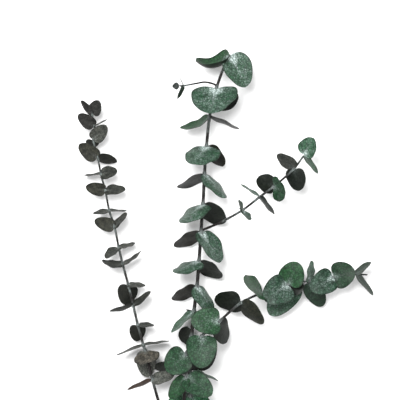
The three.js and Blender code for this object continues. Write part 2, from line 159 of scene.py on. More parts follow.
LEFT_STEM = [
  [[-20, -140, 1.55]],
  [[-21, -108, 3]],
  [[-24, -75, 5]],
  [[-31.5, -35, 9]],
  [[-42, -1, 13]],
  [[-47.7, 19.5, 14],
    [[-25, -10.5, -6], 12, [-0.2, 0.85, -0.4], 20, 0, "ruddy"],
    [[21.5, 5, 6], 17, [-0.1, 0.7, 0.7], 20, 0, "silver_and_painted_light"]],
  [[-55, 49, 14.5],
    [[3, -11, 14], 28, None, -70, -20, "drab"],
    [[2, -27, -8], 20, [0, 0.3, 0.9], -30, 0, "silver_and_painted_light"]],
  [[-56.8, 54.5, 14.5],
    [[-27, -10, 3], 16, [-0.3, 0.9, 0.12], 10, 0, "ashen"],
    [[26, 4, -3], 16, [-0.15, 1, 0.12], 10, 0, "ashen"]],
  [[-62.4, 74.5, 14.5],
    [[-1.5, -16.5, -9], 16, [0, 0.4, -1], 20, 0, "dark"],
    [[16, -0.5, 5], 15, [0, 0.95, 0.3], 20, 0, "grey"]],
  [[-67, 94.5, 14.5],
    [[-23.5, -6, 3], 16, [0, 0.9, -0.35], 20, 20, "ashen"],
    [[17.5, 13.5, 4], 17, [-0.6, 0.7, 0.35], 20, 20, "grey"]],
  [[-72, 115, 14.5],
    [[-3, -20.5, -9], 21, [0, 0.3, -1], 60, 0, "dark"],
    [[17, -1, 5], 15, [-0.1, 0.95, 0.3], 10, 0, "ashen"]],
  [[-77.5, 135.5, 14.5],
    [[-20.5, 3.5, 3], 17, [0.3, 0.9, 0.4], 20, 50, "grey"],
    [[18.5, 13.5, 3], 15, [-0.6, 0.75, 0.25], 10, 30, "ashen"]],
  [[-81.5, 152, 14.5],
    [[-12, -10.5, 9], 17, [-0.3, 0.8, 0.4], 30, -20, "grey"],
    [[16, 5, -6], 16, [-0.2, 0.95, 0.3], 20, 20, "ashen"]],
  [[-85.7, 173, 14.5],
    [[-19.5, 6.5, 5], 14, [0.2, -0.2, 0.9], 25, 10, "umber"],
    [[12.5, 13.5, 5], 17, [-0.75, 0.55, 0.4], 20, 10, "ashen"]],
  [[-91, 189, 14.5],
    [[-15.5, -3, 6], 15, [0, 0.95, 0.3], 20, 0, "ashen"],
    [[17, 0.5, -7], 15, [0, 0.97, 0.2], 10, 0, "ashen"]],
  [[-95, 209.5, 14.5],
    [[-19, 4, 5], 14, [0.2, -0.4, 0.9], 25, 0, "umber"],
    [[20, 0.5, 5], 17, [-0.1, 0.8, 0.6], 20, 0, "grey"]],
  [[-99.5, 226, 14.5],
    [[-17, -1, -8], 15, [0, 1, 0.25], 20, 10, "ashen"],
    [[16.5, 2.5, 6], 15, [-0.2, 0.5, 0.8], 20, 0, "grey"]],
  [[-102.5, 242.5, 14.5],
    [[-18.2, 13, 5], 16.5, [0.2, -0.5, 0.8], 30, 0, "umber"],
    [[18.7, -4.2, -5], 16, [0.2, 0.7, -0.6], 20, 0, "dark"]],
  [[-107, 260, 15],
    [[-3, -8, -10], 13, [0, 0.6, -0.7], 20, 0, "dark"],
    [[13, 14.5, 7], 15.5, [-0.3, -0.5, 0.8], 30, 0, "ashen"]],
  [[-106, 274, 15],
    [[-15.5, 11.5, 4], 14, [0.2, -0.5, 0.9], 30, 0, "smoky"],
    [[13.5, 7, 4], 12, [-0.4, 0.9, 0.2], 10, 10, "ashen"]],
  [[-108, 285.5, 15],
    [[-11.5, 14, -3], 9, [0.5, 0.2, -0.6], 30, 0, "smoky"],
    [[6.5, 14, 5], 14, [-0.3, -0.4, 0.9], 50, 10, "smoky"]],
  [[-109, 297.5, 16]],
]

SIDE_BRANCH = [
  [[20, 177.5, 26]],
  [[42.5, 190, 28],
    [[-4.5, 9, 6], 15, [0.8, 0.45, 0.35], 20, 0, "dark"],
    [[5.5, -9.5, 8], 18, [0.8, 0.5, 0.45], 20, 0, "frosted"]],
  [[59.4, 203, 29],
    [[-19, 12.5, 3], 16, [0.8, 0.6, 0.14], 15, 0, "pale"],
    [[14.5, -17, 4], 16, [0.6, 0.5, -0.25], 15, 0, "green"]],
  [[73.5, 213.5, 30],
    [[-17, 6, -9], 20, [0.3, 0.3, -0.9], 20, 0, "dark"],
    [[11, -6, 13], 27, [-0.6, -0.3, 0.52], 20, 0, "green"]],
  [[93.5, 231, 31],
    [[-16, 14.5, 5], 18, [0.3, 0.6, -0.6], 20, 0, "mauve"],
    [[5, -21.5, -8], 20, [0.3, 0.2, -0.9], 20, 0, "painted_shade_green"]],
  [[103.5, 244.5, 32],
    [[9.5, 16.5, 7], 21, [-0.5, 0, 0.9], 55, 0, "pale"],
    [[13, -18, 6], 14, [0.8, 0.3, 0.5], 20, 0, "green"]],
]

TOP_TWIG = [
  [[5, 317.6, 27]],
  [[-4, 316.2, 28]],
  [[-16.5, 314, 28.5],
    [[-5, 11, 2], 6, [0.9, 0.4, 0.1], 10, 0, "smoky"],
    [[-6, -13, 3], 7, [0.8, -0.3, 0.5], 20, 0, "shade"]],
  [[-21, 313.8, 28.6]],
]

# Colouring of a leaf: what its green or dusky colour is multiplied by, above and below, and how much
# whitish bloom lies on it: 0 is none, and 1 covers the foot of the blade. A few looks are painted
# light or shade, as noted beside them.
LOOKS = {
    "green": ((0.8, 0.93, 0.85), 0.32),
    "rich": ((0.75, 1.0, 0.75), 0.22),
    "half": ((0.95, 1.1, 0.9), 0.5),
    "frosted": ((0.85, 1.0, 1.05), 1.25),
    "veined": ((0.6, 0.7, 0.8), 0.75),
    "ribbed": ((0.95, 1.0, 1.05), 1.7),
    "pale": ((1.5, 1.4, 1.6), 0.95),
    # Painted shade: darkens leaves that lie in the shade of the leaves above them.
    "shade": ((0.5, 0.42, 0.5), 0.16),
    # Painted shade: a darker green for leaves that lie in shade.
    "painted_shade_green": ((0.55, 0.62, 0.55), 0.25),
    "dark": ((0.85, 0.85, 0.8), 0.12),
    "russet": ((1.5, 1.05, 0.95), 0.15),
    "brown": ((2.0, 1.65, 1.5), 0.12),
    "ruddy": ((3.4, 1.5, 1.1), 0.1),
    "umber": ((0.85, 0.82, 0.72), 0.3),
    "mauve": ((3.6, 2.9, 3.4), 0.3),
    "smoky": ((0.6, 0.55, 0.6), 0.22),
    "grey": ((0.95, 0.98, 0.98), 0.45),
    "ashen": ((1.35, 1.35, 1.35), 0.7),
    "drab": ((2.6, 2.2, 2.1), 0.9),
    # Partly painted light: a pale grey bloom made brighter still, to make up for the shade that the
    # leaf above casts on it.
    "silver_and_painted_light": ((3.2, 3.2, 3.3), 1.2),
}

# Radius of each stem at its base and at its tip.
CENTRE_RADII = (2.0, 1.3)
RIGHT_RADII = (1.9, 0.7)
LEFT_RADII = (1.55, 0.75)
BRANCH_RADII = (1.25, 0.95)
TWIG_RADII = (0.9, 0.75)

# The bud at the end of the twig.
BUD_RADIUS = 3.8
BUD_LENGTH = 7.2
BUD_RINGS, BUD_SIDES = 22, 32
BUD_SEAM_DEPTH = 0.16  # as a share of the radius
BUD_SEAM_WIDTH = 0.25  # half width, as the sine of twice the turn
BUD_SUNK = 0.3  # how far it reaches back into the twig

CLASP_HALF_LENGTH = 1.4  # how far along the stem past a leaf pair's node a branch starts
CLEARANCE = 0.4  # between a stem and what grows from it
FRAME_ROD_SIDES, FRAME_ROD_STEPS = 8, 2  # of the frame's own stems
SEEDS_PER_PAIR = 10

# The skin of a stem. Shares are of its radius.
ROD_SIDES = 16
ROD_STEPS = 10  # rings from each point of a stem to the next
ROUNDED_END = 1.5  # length of the rounded end, as a share of the radius at the tip
NODE_SWELLING = 0.42  # share by which a node is thicker
SWELLING_REACH = 1.7  # how far the swelling goes along the stem
WAX_BELOW_NODE, WAX_ABOVE_NODE = 7.0, 3.0  # how far a node's wax goes along the stem
BUMPS, BUMP_PACE = 0.03, 0.9  # share of the slow bumps, and their radians per millimetre
SQUARENESS = 0.05  # share by which a stem is thicker along four lines
BUD_TIP = 1.6  # radius of the swollen end of the left stem
BUD_TIP_PLACE, BUD_TIP_REACH = 1.9, 1.5  # how far that end's middle is from its point, and its reach

# A blade. Its outline is sin(pi u^pace)^(power - fall u), u from 0 at the base to 1 at the tip. The
# last two heights are for a leaf of the usual width, and grow with the leaf.
OUTLINE_PACE, OUTLINE_POWER, OUTLINE_FALL = 0.75, 0.56, 0.16
BLADE_ROWS = 34
BLADE_LOOP = 44
LEAF_THICKNESS = 0.42  # at the midrib
STALK_HALF_WIDTH = 1.1  # half width of a blade where it meets its node
BLADE_START = 0.4  # where a blade starts beside its stem's middle, as a share of the stem's radius
LOBE = 0.15  # how far a blade's base sweeps back past its stem, as a share of its width
FLAT_CUP = 90  # cup, in degrees, from which a blade has no lobes
GROOVE_DEPTH, GROOVE_WIDTH = 0.32, 0.1  # of the midrib; the width is a share of the half width
POINT = 0.02  # how far the tip is drawn out, as a share of the leaf's length
USUAL_WIDTH = 30
RIPPLE = 0.75  # height of the waves of the margin
QUILTING = 0.1  # height of the soft pillows between the side veins
PILLOWS_ALONG, PILLOWS_ACROSS = 5.5, 2.2  # number of them from base to tip and from midrib to margin

ALLOWED_STRAY = 4  # how far a piece may stand out of its node's box before that is printed

# ---- stems ----------------------------------------------------------------------------------------


def along_points(places, t):
    """Points on a centripetal Catmull-Rom curve: each span is a cubic whose end slopes come from its
    neighbours, weighted by the square root of the distances between the points."""
    places = np.asarray(places, float)
    first, last = 2 * places[0] - places[1], 2 * places[-1] - places[-2]
    padded = np.vstack([first, places, last])
    spans = len(places) - 1
    at = np.clip(np.asarray(t, float) * spans, 0, spans)
    span = np.minimum(at.astype(int), spans - 1)
    w = (at - span)[:, None]
    p0, p1, p2, p3 = (padded[span + k] for k in range(4))
    neighbours = ((p0, p1), (p1, p2), (p2, p3))
    d0, d1, d2 = (np.linalg.norm(b - a, axis=1)[:, None] ** 0.5 for a, b in neighbours)
    m1 = ((p1 - p0) / d0 - (p2 - p0) / (d0 + d1) + (p2 - p1) / d1) * d1
    m2 = ((p2 - p1) / d1 - (p3 - p1) / (d1 + d2) + (p3 - p2) / d2) * d1
    cubic = 2 * p1 - 2 * p2 + m1 + m2
    square = -3 * p1 + 3 * p2 - 2 * m1 - m2
    return ((cubic * w + square) * w + m1) * w + p1


def runs(places, t):
    """Unit directions of the curve: the difference between points just before and just after."""
    t = np.asarray(t, float)
    nudge = 1e-4
    after, before = np.clip(t + nudge, 0, 1), np.clip(t - nudge, 0, 1)
    step = along_points(places, after) - along_points(places, before)
    return step / np.linalg.norm(step, axis=1)[:, None]


def unit(v):
    """A vector or a list of them, each scaled to length one."""
    return v / np.linalg.norm(v, axis=-1, keepdims=True)


def rings_about(centres, directions, reach):
    """Rings of points about a centreline: each ring lies square to the run, on the side direction
    level with the ground and the one above it, at the reach given for every point of the ring."""
    side = unit(np.cross([0.0, 0.0, 1.0], directions))
    up = np.cross(directions, side)
    turn = np.linspace(0, 2 * np.pi, reach.shape[1], endpoint=False)[None, :, None]
    spoke = side[:, None, :] * np.cos(turn) + up[:, None, :] * np.sin(turn)
    return centres[:, None, :] + spoke * reach[:, :, None]


def stem_shape(points, base, tip, bud_tip=0.0):
    """The stem's rings. The radius falls evenly from base to tip, with a swelling exp(-(gap/reach)^2)
    at each node, a faint squareness and slow bumps along it; the last few millimetres close to a
    rounded end, or swell to a small bud first. Beside each ring comes its nearness to a node, for the
    wax there."""
    places = np.array([p[0] for p in points], float)
    spans = len(places) - 1
    t = np.linspace(0, 1, spans * ROD_STEPS + 1)
    centre, run = along_points(places, t), runs(places, t)
    length = np.concatenate([[0], np.cumsum(np.linalg.norm(np.diff(centre, axis=0), axis=1))])
    node_at = [length[i * ROD_STEPS] for i, p in enumerate(points) if len(p) > 1]
    near = np.zeros_like(t)
    swell = np.zeros_like(t)
    for place in node_at:
        gap = length - place
        swell = np.maximum(swell, np.exp(-((gap / SWELLING_REACH) ** 2)))
        wax_reach = np.where(gap < 0, WAX_BELOW_NODE, WAX_ABOVE_NODE)
        near = np.maximum(near, np.exp(-((gap / wax_reach) ** 2)))
    bumps = BUMPS * np.sin(length * BUMP_PACE) * (1 - swell)
    radius = (base + (tip - base) * t) * (1 + NODE_SWELLING * swell + bumps)
    left = length[-1] - length
    if bud_tip:
        radius = radius + (bud_tip - tip) * np.exp(-(((left - BUD_TIP_PLACE) / BUD_TIP_REACH) ** 2))
    radius = radius * np.sqrt(np.clip(left / (ROUNDED_END * tip), 0.02, 1))
    turn = np.linspace(0, 2 * np.pi, ROD_SIDES, endpoint=False)
    reach = radius[:, None] * (1 + SQUARENESS * np.cos(4 * turn + 0.4))[None, :]
    return rings_about(centre, run, reach), near


def closed_rod(rings, bloom):
    """A closed skin over rings of points, with a fan over each end. Returns points, faces and the
    bloom at each point; the first end's fan comes first among the faces."""
    count, sides, _ = rings.shape
    points = np.vstack([rings.reshape(-1, 3), rings[0].mean(axis=0), rings[-1].mean(axis=0)])
    ring, k = np.meshgrid(np.arange(count - 1), np.arange(sides), indexing="ij")
    a, b = (ring * sides + k).ravel(), (ring * sides + (k + 1) % sides).ravel()
    skin = np.stack([a, b, b + sides, a + sides], axis=1)
    edge = np.arange(sides)
    turned = (edge + 1) % sides
    start, end = count * sides, (count - 1) * sides
    first = np.stack([np.full(sides, start), turned, edge], axis=1)
    final = np.stack([np.full(sides, start + 1), end + edge, end + turned], axis=1)
    faces = first.tolist() + skin.tolist() + final.tolist()
    shade = np.concatenate([np.repeat(bloom, sides), [bloom[0], bloom[-1]]])
    return points, faces, shade


# ---- leaves ---------------------------------------------------------------------------------------


def blade_shape(centre, run, radius, leaf, seed):
    """A leaf. Its half width is width / 2 times sin(pi u^0.75)^(0.56 - 0.16 u) for u from 0 at the base
    to 1 at the tip, so it is round, broadest near the stem, with a blunt tip. A short stalk widens the
    base, and the base's two sides sweep back past the stem by a share of v^2 (1 - u)^2 times the
    width, where v goes from -1 to 1 across; a deeply cupped leaf has none of that. Across, it bends on
    an arc of `cup` degrees; along, the midrib bends on an arc of `bow` degrees. The margins ripple by
    a sine that grows with v^2, low pillows lie slanting between the side veins, and the midrib lies
    in a shallow groove. Each section is a thin lens, run as one loop over the upper side and back
    under the lower. Returns points, faces, and at each point the place on the blade (across, along,
    1 above or -1 below)."""
    tip, width, face, cup, bow, _ = leaf
    rng = np.random.default_rng(seed)
    reach = np.array(tip, float)
    distance = np.linalg.norm(reach)
    ahead = reach / distance
    upper = np.array(face if face else run, float)
    upper = unit(upper - upper.dot(ahead) * ahead)
    across = np.cross(ahead, upper)
    start = BLADE_START * radius
    bend = math.radians(bow if abs(bow) >= 1 else 1)
    hollow = math.radians(cup if abs(cup) >= 1 else 1) / 2
    arc = (distance - start) / (2 * math.sin(bend / 2))

    u = (0.5 - 0.5 * np.cos(np.pi * np.arange(1, BLADE_ROWS + 1) / (BLADE_ROWS + 1)))[:, None]
    angle = 2 * np.pi * (np.arange(BLADE_LOOP) + 0.5)[None, :] / BLADE_LOOP
    v = np.cos(angle)
    above = np.sign(np.sin(angle))

    lean = rng.uniform(-0.05, 0.05)
    outline = np.sin(np.pi * u**OUTLINE_PACE) ** (OUTLINE_POWER - OUTLINE_FALL * u)
    lobe = LOBE * max(0, 1 - abs(cup) / FLAT_CUP) * width * v**2 * outline * (1 - u) ** 2
    half = STALK_HALF_WIDTH * (1 - u) ** 3 + 0.5 * width * outline * (1 + lean * np.sign(v) * (1 - u))
    size = width / USUAL_WIDTH
    waves = rng.uniform(1.2, 2.2)
    phase = rng.uniform(0, 2 * np.pi, 2)
    ripple = np.sin(2 * np.pi * waves * u + np.where(v > 0, phase[0], phase[1]))
    lift = RIPPLE * size * ripple * v**2 * outline
    groove = GROOVE_DEPTH * np.exp(-((v / GROOVE_WIDTH) ** 2)) * (1 - u) * (u > 0.04)
    lift = lift - groove + 0.35 * lobe
    pillows = np.cos(2 * np.pi * (PILLOWS_ALONG * u - PILLOWS_ACROSS * np.abs(v)))
    lift = lift + QUILTING * size * pillows * (1 - v**2) * outline
    thickness = LEAF_THICKNESS * (0.45 + 0.55 * (1 - v**2)) * np.sqrt(np.abs(np.sin(angle)))
    lift = lift + 0.5 * above * thickness * (0.35 + 0.65 * outline)

    turn = bend * (u - 0.5)
    near_tip = np.clip((u - 0.8) / 0.2, 0, 1) ** 2
    point = POINT * distance * np.exp(-((v * outline / 0.2) ** 2)) * near_tip
    forward = start + arc * (math.sin(bend / 2) + np.sin(turn)) + point - lobe
    rise = arc * (math.cos(bend / 2) - np.cos(turn)) + (half / hollow) * (1 - np.cos(hollow * v)) + lift
    sideways = (half / hollow) * np.sin(hollow * v)
    grid = centre + ahead * forward[..., None] + across * sideways[..., None] + upper * rise[..., None]
    base, end = centre + ahead * start, centre + ahead * ((1 + POINT) * distance)
    points = np.vstack([grid.reshape(-1, 3), base, end])

    row, k = np.meshgrid(np.arange(BLADE_ROWS - 1), np.arange(BLADE_LOOP), indexing="ij")
    a, b = (row * BLADE_LOOP + k).ravel(), (row * BLADE_LOOP + (k + 1) % BLADE_LOOP).ravel()
    skin = np.stack([a, a + BLADE_LOOP, b + BLADE_LOOP, b], axis=1)
    edge = np.arange(BLADE_LOOP)
    turned = (edge + 1) % BLADE_LOOP
    foot, final = BLADE_ROWS * BLADE_LOOP, (BLADE_ROWS - 1) * BLADE_LOOP
    first = np.stack([np.full(BLADE_LOOP, foot), edge, turned], axis=1)
    last = np.stack([np.full(BLADE_LOOP, foot + 1), final + turned, final + edge], axis=1)
    faces = first.tolist() + skin.tolist() + last.tolist()

    place = np.stack(np.broadcast_arrays(v * outline, u, above), axis=-1).reshape(-1, 3)
    place = np.vstack([place, [0, 0, 1], [0, 1, 1]])
    return points, faces, place


def bud_shape(base, run, radius, length):
    """A closed bud: turned about its run with the outline sin(pi s^0.75)^0.8, four shallow seams
    where its scales meet, and a short point. s goes from 0 at the base to 1 at the point."""
    s = np.linspace(0.02, 0.98, BUD_RINGS)
    turn = np.linspace(0, 2 * np.pi, BUD_SIDES, endpoint=False)
    seam = 1 - BUD_SEAM_DEPTH * np.exp(-((np.sin(2 * turn) / BUD_SEAM_WIDTH) ** 2))
    reach = radius * (np.sin(np.pi * s**0.75) ** 0.8)[:, None] * seam[None, :]
    centres = base + run * (s * length)[:, None]
    return closed_rod(rings_about(centres, np.repeat(run[None], len(s), 0), reach), 0.5 - 0.4 * s)


# ---- finishes -------------------------------------------------------------------------------------


MIX_A, MIX_B, MIX_RESULT = 6, 7, 2  # the colour sockets of a Mix node

# Scales of the patterns, in repeats to a metre.
WAX_DRIFTS, WAX_PATCHES, WAX_FLECKS = 75.0, 380.0, 1150.0
LEAF_MOTTLE, VEIN_WANDER, VEIN_NET = 260.0, 160.0, 340.0
BARK_GRAIN, BARK_PATCHES, WOOD_GRAIN = 1400.0, 95.0, 1500.0

NET_DEPTH, VEIN_DEPTH = 0.5, 0.55  # how dark the net and the veins are, as a share of the under side
BUMP_HEIGHT = 0.0003  # in metres, of the relief of a leaf and of bark


def put(tree, kind, inputs=(), **settings):
    """A node with its settings made, and each input either linked or given its value."""
    made = tree.nodes.new(kind)
    for name, value in settings.items():
        setattr(made, name, value)
    for key, value in dict(inputs).items():
        if isinstance(value, bpy.types.NodeSocket):
            tree.links.new(value, made.inputs[key])
        else:
            made.inputs[key].default_value = value
    return made


def sums(tree, operation, *values, clamp=False):
    """The result of a Math node."""
    made = put(tree, "ShaderNodeMath", enumerate(values), operation=operation, use_clamp=clamp)
    return made.outputs[0]


def product(tree, a, b):
    """One value times another."""
    return sums(tree, "MULTIPLY", a, b)


def ramp(tree, value, low, high, to_low=0.0, to_high=1.0):
    """A value taken smoothly from one range to another."""
    inputs = {0: value, 1: low, 2: high, 3: to_low, 4: to_high}
    return put(tree, "ShaderNodeMapRange", inputs, interpolation_type="SMOOTHSTEP").outputs[0]


def blend_colours(tree, share, a, b, blend_type="MIX"):
    """The result of a Mix node on two colours."""
    inputs = {0: share, MIX_A: a, MIX_B: b}
    made = put(tree, "ShaderNodeMix", inputs, data_type="RGBA", blend_type=blend_type)
    return made.outputs[MIX_RESULT]


def group(name, takes, gives):
    """An empty node group with its sockets: names to (kind, default), and names to kind."""
    tree = bpy.data.node_groups.new(name, "ShaderNodeTree")
    for socket, (kind, default) in takes.items():
        made = tree.interface.new_socket(socket, in_out="INPUT", socket_type="NodeSocket" + kind)
        if default is not None:
            made.default_value = default
    for socket, kind in gives.items():
        tree.interface.new_socket(socket, in_out="OUTPUT", socket_type="NodeSocket" + kind)
    return tree, tree.nodes.new("NodeGroupInput").outputs, tree.nodes.new("NodeGroupOutput").inputs


def plain_finish(name):
    """A new material, its node tree, and the shader that gives it its surface."""
    finish = bpy.data.materials.new(name)
    finish.use_nodes = True
    tree = finish.node_tree
    return finish, tree, next(n for n in tree.nodes if n.type == "BSDF_PRINCIPLED")


def grains(tree, vector, scale, detail=3.0, rough=0.55):
    """Fractal noise, from about 0.3 to 0.7."""
    inputs = {"Vector": vector, "Scale": scale, "Detail": detail, "Roughness": rough}
    return put(tree, "ShaderNodeTexNoise", inputs).outputs["Fac"]


def make_bloom_group():
    """Whitish wax: thick round the base of the blade and along its midrib, thin and flecked over the
    rest, and broken up by noise."""
    takes = {"Place": ("Vector", None), "Vector": ("Vector", None), "Amount": ("Float", 0.5)}
    tree, take, give = group("waxy_bloom", takes, {"Bloom": "Float"})
    parts = put(tree, "ShaderNodeSeparateXYZ", {0: take["Place"]}).outputs
    span = sums(tree, "ABSOLUTE", parts[0])
    squares = [sums(tree, "POWER", length, 2.0) for length in (span, parts[1])]
    from_base = sums(tree, "SQRT", sums(tree, "ADD", *squares))
    drift = grains(tree, take["Vector"], WAX_DRIFTS, 2.0)
    coarse = grains(tree, take["Vector"], WAX_PATCHES, 4.0, 0.7)
    fine = grains(tree, take["Vector"], WAX_FLECKS, 2.0, 0.6)
    foot = product(tree, ramp(tree, from_base, 0.42, 0.0), ramp(tree, fine, 0.3, 0.55, 0.4, 1.0))
    rib = product(tree, ramp(tree, span, 0.09, 0.0), ramp(tree, parts[1], 0.95, 0.1))
    rib = product(tree, rib, ramp(tree, fine, 0.35, 0.6, 0.1, 0.6))
    flecks = product(tree, ramp(tree, fine, 0.42, 0.72), ramp(tree, coarse, 0.36, 0.66, 0.08, 0.48))
    flecks = product(tree, flecks, ramp(tree, from_base, 1.05, 0.3, 0.35, 1.0))
    flecks = product(tree, flecks, ramp(tree, drift, 0.38, 0.6, 0.45, 1.1))
    film = ramp(tree, coarse, 0.3, 0.7, 0.01, 0.1)
    film = product(tree, film, ramp(tree, drift, 0.38, 0.6, 0.5, 1.1))
    total = sums(tree, "ADD", sums(tree, "ADD", foot, rib), sums(tree, "ADD", flecks, film))
    tree.links.new(sums(tree, "MULTIPLY", total, take["Amount"], clamp=True), give["Bloom"])
    return tree


def make_vein_group():
    """Veins of a round leaf: the midrib, side veins that leave it at a slant and arch forwards, and a
    net of small cells between them."""
    takes = {"Place": ("Vector", None), "Vector": ("Vector", None)}
    tree, take, give = group("leaf_veins", takes, {"Veins": "Float", "Net": "Float"})
    parts = put(tree, "ShaderNodeSeparateXYZ", {0: take["Place"]}).outputs
    wander = grains(tree, take["Vector"], VEIN_WANDER, 2.0)
    span = sums(tree, "ABSOLUTE", parts[0])
    midrib = ramp(tree, span, 0.035, 0.005)
    slant = sums(tree, "SUBTRACT", parts[1], product(tree, sums(tree, "POWER", span, 0.8), 0.55))
    slant = sums(tree, "ADD", slant, product(tree, wander, 0.16))
    gap = sums(tree, "PINGPONG", product(tree, slant, 7.5), 0.5)
    side = product(tree, ramp(tree, gap, 0.1, 0.0), ramp(tree, span, 1.0, 0.5, 0.0, 0.9))
    inputs = {"Vector": take["Vector"], "Scale": VEIN_NET}
    cells = put(tree, "ShaderNodeTexVoronoi", inputs, feature="DISTANCE_TO_EDGE")
    net = ramp(tree, cells.outputs["Distance"], 0.16, 0.03)
    tree.links.new(sums(tree, "MAXIMUM", midrib, side), give["Veins"])
    tree.links.new(net, give["Net"])
    return tree


def make_leaf_finish(name, bloom_group, vein_group, above, below, wax, rough):
    """Leaf skin: one colour above and a darker one below, mottled, darker along the veins, paler and
    duller where the wax lies, and a thin dark line round the margin. That line is partly the dried
    margin and partly painted shade, standing in for the shadows where leaves overlap. `above` has two
    colours to mottle and the margin line's, `below` has two to mottle. The margin is where the place
    across nears the outline of blade_shape."""
    finish, tree, shader = plain_finish(name)
    here = put(tree, "ShaderNodeTexCoord").outputs["Object"]
    place = put(tree, "ShaderNodeAttribute", attribute_name="blade").outputs["Vector"]
    tint = put(tree, "ShaderNodeAttribute", attribute_name="tint")
    amount = put(tree, "ShaderNodeAttribute", attribute_name="wax").outputs["Fac"]
    parts = put(tree, "ShaderNodeSeparateXYZ", {0: place}).outputs
    upside = ramp(tree, parts[2], -0.4, 0.4)
    veins = put(tree, "ShaderNodeGroup", node_tree=vein_group)
    wax_here = put(tree, "ShaderNodeGroup", node_tree=bloom_group)
    for made in (veins, wax_here):
        tree.links.new(place, made.inputs["Place"])
        tree.links.new(here, made.inputs["Vector"])
    share = product(tree, amount, ramp(tree, upside, 0.0, 1.0, 0.3, 1.0))
    tree.links.new(share, wax_here.inputs["Amount"])

    mottle = grains(tree, here, LEAF_MOTTLE, 5.0, 0.65)
    top = blend_colours(tree, ramp(tree, mottle, 0.3, 0.7), above[0], above[1])
    under = blend_colours(tree, ramp(tree, mottle, 0.3, 0.7), below[0], below[1])
    skin = blend_colours(tree, upside, under, top)
    skin = blend_colours(tree, 1.0, skin, tint.outputs["Color"], "MULTIPLY")
    net = product(tree, veins.outputs["Net"], NET_DEPTH)
    lines = sums(tree, "MAXIMUM", product(tree, veins.outputs["Veins"], VEIN_DEPTH), net)
    skin = blend_colours(tree, lines, skin, below[0])
    bloom = wax_here.outputs["Bloom"]
    waxed = product(tree, bloom, ramp(tree, lines, 0.0, 0.5, 1.0, 0.3))
    skin = blend_colours(tree, waxed, skin, wax)
    half = sums(tree, "SINE", product(tree, sums(tree, "POWER", parts[1], OUTLINE_PACE), math.pi))
    power = sums(tree, "MULTIPLY_ADD", parts[1], -OUTLINE_FALL, OUTLINE_POWER)
    half = sums(tree, "MAXIMUM", sums(tree, "POWER", half, power), 0.05)
    # Partly painted shade: the margin line is darker than a dried edge alone, for the shadows between
    # overlapping leaves.
    edge = ramp(tree, sums(tree, "DIVIDE", sums(tree, "ABSOLUTE", parts[0]), half), 0.86, 0.97)
    skin = blend_colours(tree, product(tree, edge, 0.6), skin, above[2])
    tree.links.new(skin, shader.inputs["Base Color"])
    tree.links.new(ramp(tree, bloom, 0.0, 0.8, rough, 0.85), shader.inputs["Roughness"])
    shader.inputs["Specular IOR Level"].default_value = 0.18

    height = sums(tree, "ADD", product(tree, lines, -0.6), product(tree, mottle, 0.5))
    bump = put(tree, "ShaderNodeBump", {"Strength": 0.5, "Distance": BUMP_HEIGHT, "Height": height})
    tree.links.new(bump.outputs["Normal"], shader.inputs["Normal"])
    return finish


def make_bark_finish(name, dark, brown, wax):
    """Young bark: dark and streaked along the stem, whitish with wax at and below the nodes."""
    finish, tree, shader = plain_finish(name)
    here = put(tree, "ShaderNodeTexCoord").outputs["Object"]
    near = put(tree, "ShaderNodeAttribute", attribute_name="wax").outputs["Fac"]
    streaks = put(tree, "ShaderNodeMapping", {"Vector": here, "Scale": (1.0, 0.12, 1.0)}).outputs[0]
    grain = grains(tree, streaks, BARK_GRAIN, 4.0, 0.6)
    patch = grains(tree, here, BARK_PATCHES, 3.0, 0.6)
    skin = blend_colours(tree, ramp(tree, grain, 0.3, 0.7), dark, brown)
    cover = sums(tree, "ADD", product(tree, near, 0.6), ramp(tree, patch, 0.52, 0.7, 0.0, 0.35))
    cover = sums(tree, "MULTIPLY", cover, ramp(tree, grain, 0.35, 0.6, 0.1, 1.0), clamp=True)
    skin = blend_colours(tree, cover, skin, wax)
    tree.links.new(skin, shader.inputs["Base Color"])
    tree.links.new(ramp(tree, cover, 0.0, 1.0, 0.6, 0.85), shader.inputs["Roughness"])
    shader.inputs["Specular IOR Level"].default_value = 0.15
    bump = put(tree, "ShaderNodeBump", {"Strength": 0.6, "Distance": BUMP_HEIGHT, "Height": grain})
    tree.links.new(bump.outputs["Normal"], shader.inputs["Normal"])
    return finish


def make_cut_finish():
    """A cut across a stem: pale wood, speckled with darker pores."""
    finish, tree, shader = plain_finish("cut_wood")
    here = put(tree, "ShaderNodeTexCoord").outputs["Object"]
    pores = grains(tree, here, WOOD_GRAIN)
    skin = blend_colours(tree, pores, (0.42, 0.33, 0.2, 1), (0.22, 0.16, 0.09, 1))
    tree.links.new(skin, shader.inputs["Base Color"])
    shader.inputs["Roughness"].default_value = 0.8
    return finish


bloom_group, vein_group = make_bloom_group(), make_vein_group()
green_skin = make_leaf_finish(
    "green_leaf_skin",
    bloom_group,
    vein_group,
    # The last colour above is the margin line: part dried edge, part painted shade between overlapping
    # leaves.
    above=((0.005, 0.026, 0.01, 1), (0.016, 0.064, 0.025, 1), (0.006, 0.012, 0.007, 1)),
    below=((0.004, 0.006, 0.0045, 1), (0.013, 0.016, 0.012, 1)),
    wax=(0.5, 0.59, 0.57, 1),
    rough=0.48,
)
dusky_skin = make_leaf_finish(
    "dusky_leaf_skin",
    bloom_group,
    vein_group,
    # The last colour above is the margin line: part dried edge, part painted shade between overlapping
    # leaves.
    above=((0.006, 0.007, 0.006, 1), (0.046, 0.048, 0.04, 1), (0.012, 0.013, 0.011, 1)),
    below=((0.006, 0.007, 0.006, 1), (0.02, 0.021, 0.017, 1)),
    wax=(0.17, 0.18, 0.165, 1),
    rough=0.6,
)
bark_skin = make_bark_finish(
    "stem_bark",
    dark=(0.004, 0.0035, 0.0035, 1),
    brown=(0.02, 0.017, 0.016, 1),
    wax=(0.24, 0.28, 0.27, 1),
)
bud_skin = make_bark_finish(
    "bud_scales",
    dark=(0.003, 0.004, 0.004, 1),
    brown=(0.01, 0.013, 0.012, 1),
    wax=(0.16, 0.19, 0.18, 1),
)
cut_wood = make_cut_finish()

# ---- the bunch ------------------------------------------------------------------------------------


